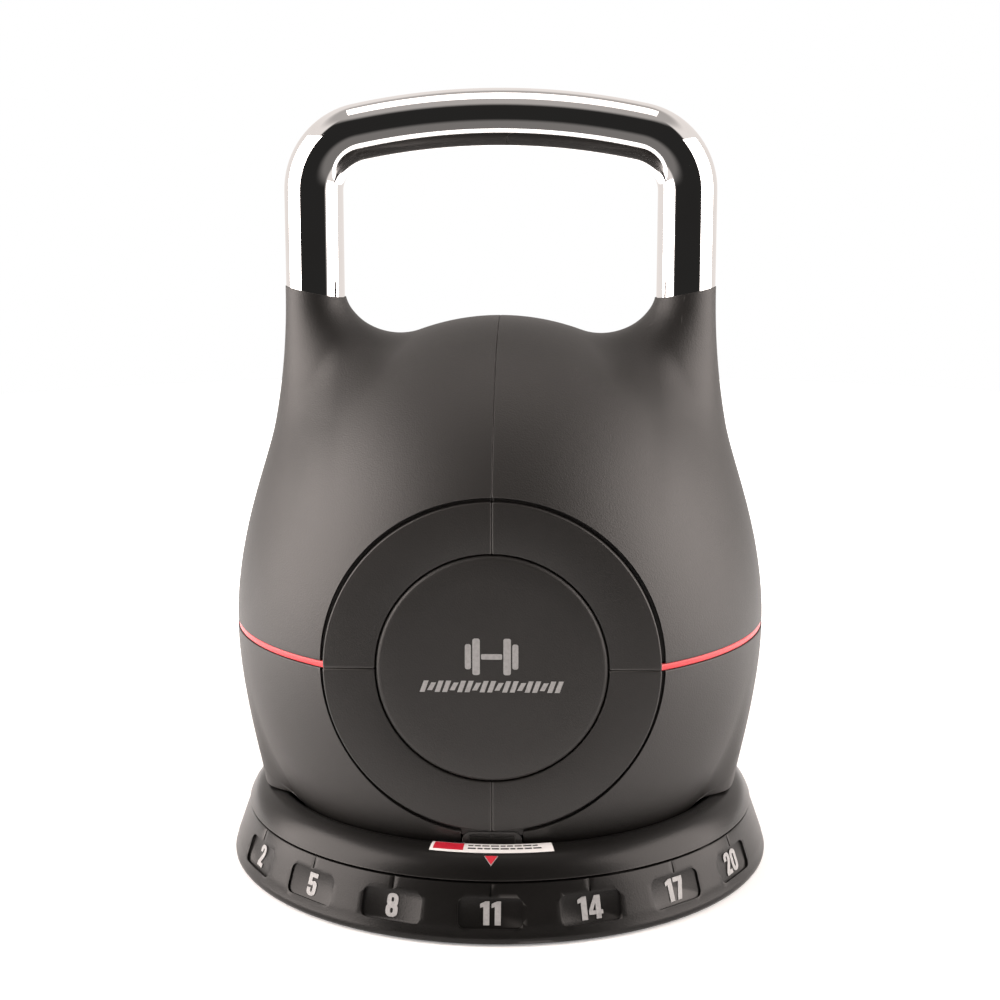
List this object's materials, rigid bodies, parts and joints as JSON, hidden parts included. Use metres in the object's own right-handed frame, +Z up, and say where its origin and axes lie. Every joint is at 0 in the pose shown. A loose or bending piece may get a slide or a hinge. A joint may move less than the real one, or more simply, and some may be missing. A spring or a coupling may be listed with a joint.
{
  "type": "adjustable kettlebell",
  "caption": "Adjustable kettlebell with a round bent-tube handle and hollow shell, standing on a dial base that selects how many stacked plates lift with it.",
  "frame": {"origin": "centre of the ground face, under the middle of the base", "axes": "+Z up, front face with the lock button towards -Y, +X to the right seen from the front"},
  "size_m": [0.26, 0.26, 0.3639],
  "materials": {
    "black_shell": "fine matt grain",
    "black_base": "fine matt grain",
    "inner_plastic": "plain moulded",
    "rubber": "matt",
    "steel": "zinc plated",
    "red_trim": "satin",
    "label": "printed film",
    "number_grey": "printed",
    "cast_iron": "rough cast, painted",
    "chrome": "polished",
    "frame_steel": "satin",
    "bronze": "turned",
    "cam_metal": "sintered"
  },
  "bodies": {
    "base": {"base_plate": "inner_plastic", "rubber_feet": "rubber", "top_cover": "black_base", "plate_tray": "inner_plastic", "base_screws": "steel", "cover_screws": "steel", "pointer_mark": "red_trim", "info_label": "label", "detent_ball": "steel", "detent_spring": "steel", "lock_spring": "steel", "weight_plate_4": "cast_iron", "weight_plate_5": "cast_iron", "weight_plate_6": "cast_iron"},
    "dial": {"dial_ring": "black_base", "dial_numbers": "number_grey", "dial_carrier": "inner_plastic", "dial_screws": "steel"},
    "lock": {"lock_button": "black_base"},
    "kettlebell": {"weight_plate_1": "cast_iron", "weight_plate_2": "cast_iron", "weight_plate_3": "cast_iron", "handle_tube": "chrome", "handle_plugs": "steel", "handle_bolts": "steel", "handle_frame": "frame_steel", "frame_screws": "steel", "shell_upper_left": "black_shell", "shell_upper_right": "black_shell", "shell_lower_left": "black_shell", "shell_lower_right": "black_shell", "trim_strip_left": "red_trim", "trim_strip_right": "red_trim", "front_cap": "black_shell", "back_cap": "black_shell", "shell_screws": "steel", "shaft_bush": "bronze"},
    "selector": {"selector_shaft": "steel", "shaft_nut": "steel", "cam_clip": "steel", "lift_cam_1": "cam_metal", "lift_cam_2": "cam_metal", "lift_cam_3": "cam_metal", "lift_cam_4": "cam_metal", "lift_cam_5": "cam_metal", "lift_cam_6": "cam_metal"}
  },
  "joints": [
    {"name": "dial_turn", "type": "hinge", "parent": "base", "child": "dial", "pos_m": [0, 0, 0], "axis": [0, 0, 1], "range_deg": [-60, 60]},
    {"name": "bell_lift", "type": "slide", "parent": "base", "child": "kettlebell", "axis": [0, 0, 1], "range_m": [0, 0.2]},
    {"name": "selector_turn", "type": "hinge", "parent": "kettlebell", "child": "selector", "pos_m": [0, 0, 0], "axis": [0, 0, 1], "range_deg": [-60, 60]},
    {"name": "lock_press", "type": "slide", "parent": "base", "child": "lock", "axis": [0, 1, 0], "range_m": [0, 0.003], "stiffness_N_per_m": 500, "springref_m": -0.004, "deforming": ["lock_spring"]}
  ],
  "couplings": [
    {"joint": "selector_turn", "follows": "dial_turn", "ratio": 1}
  ]
}
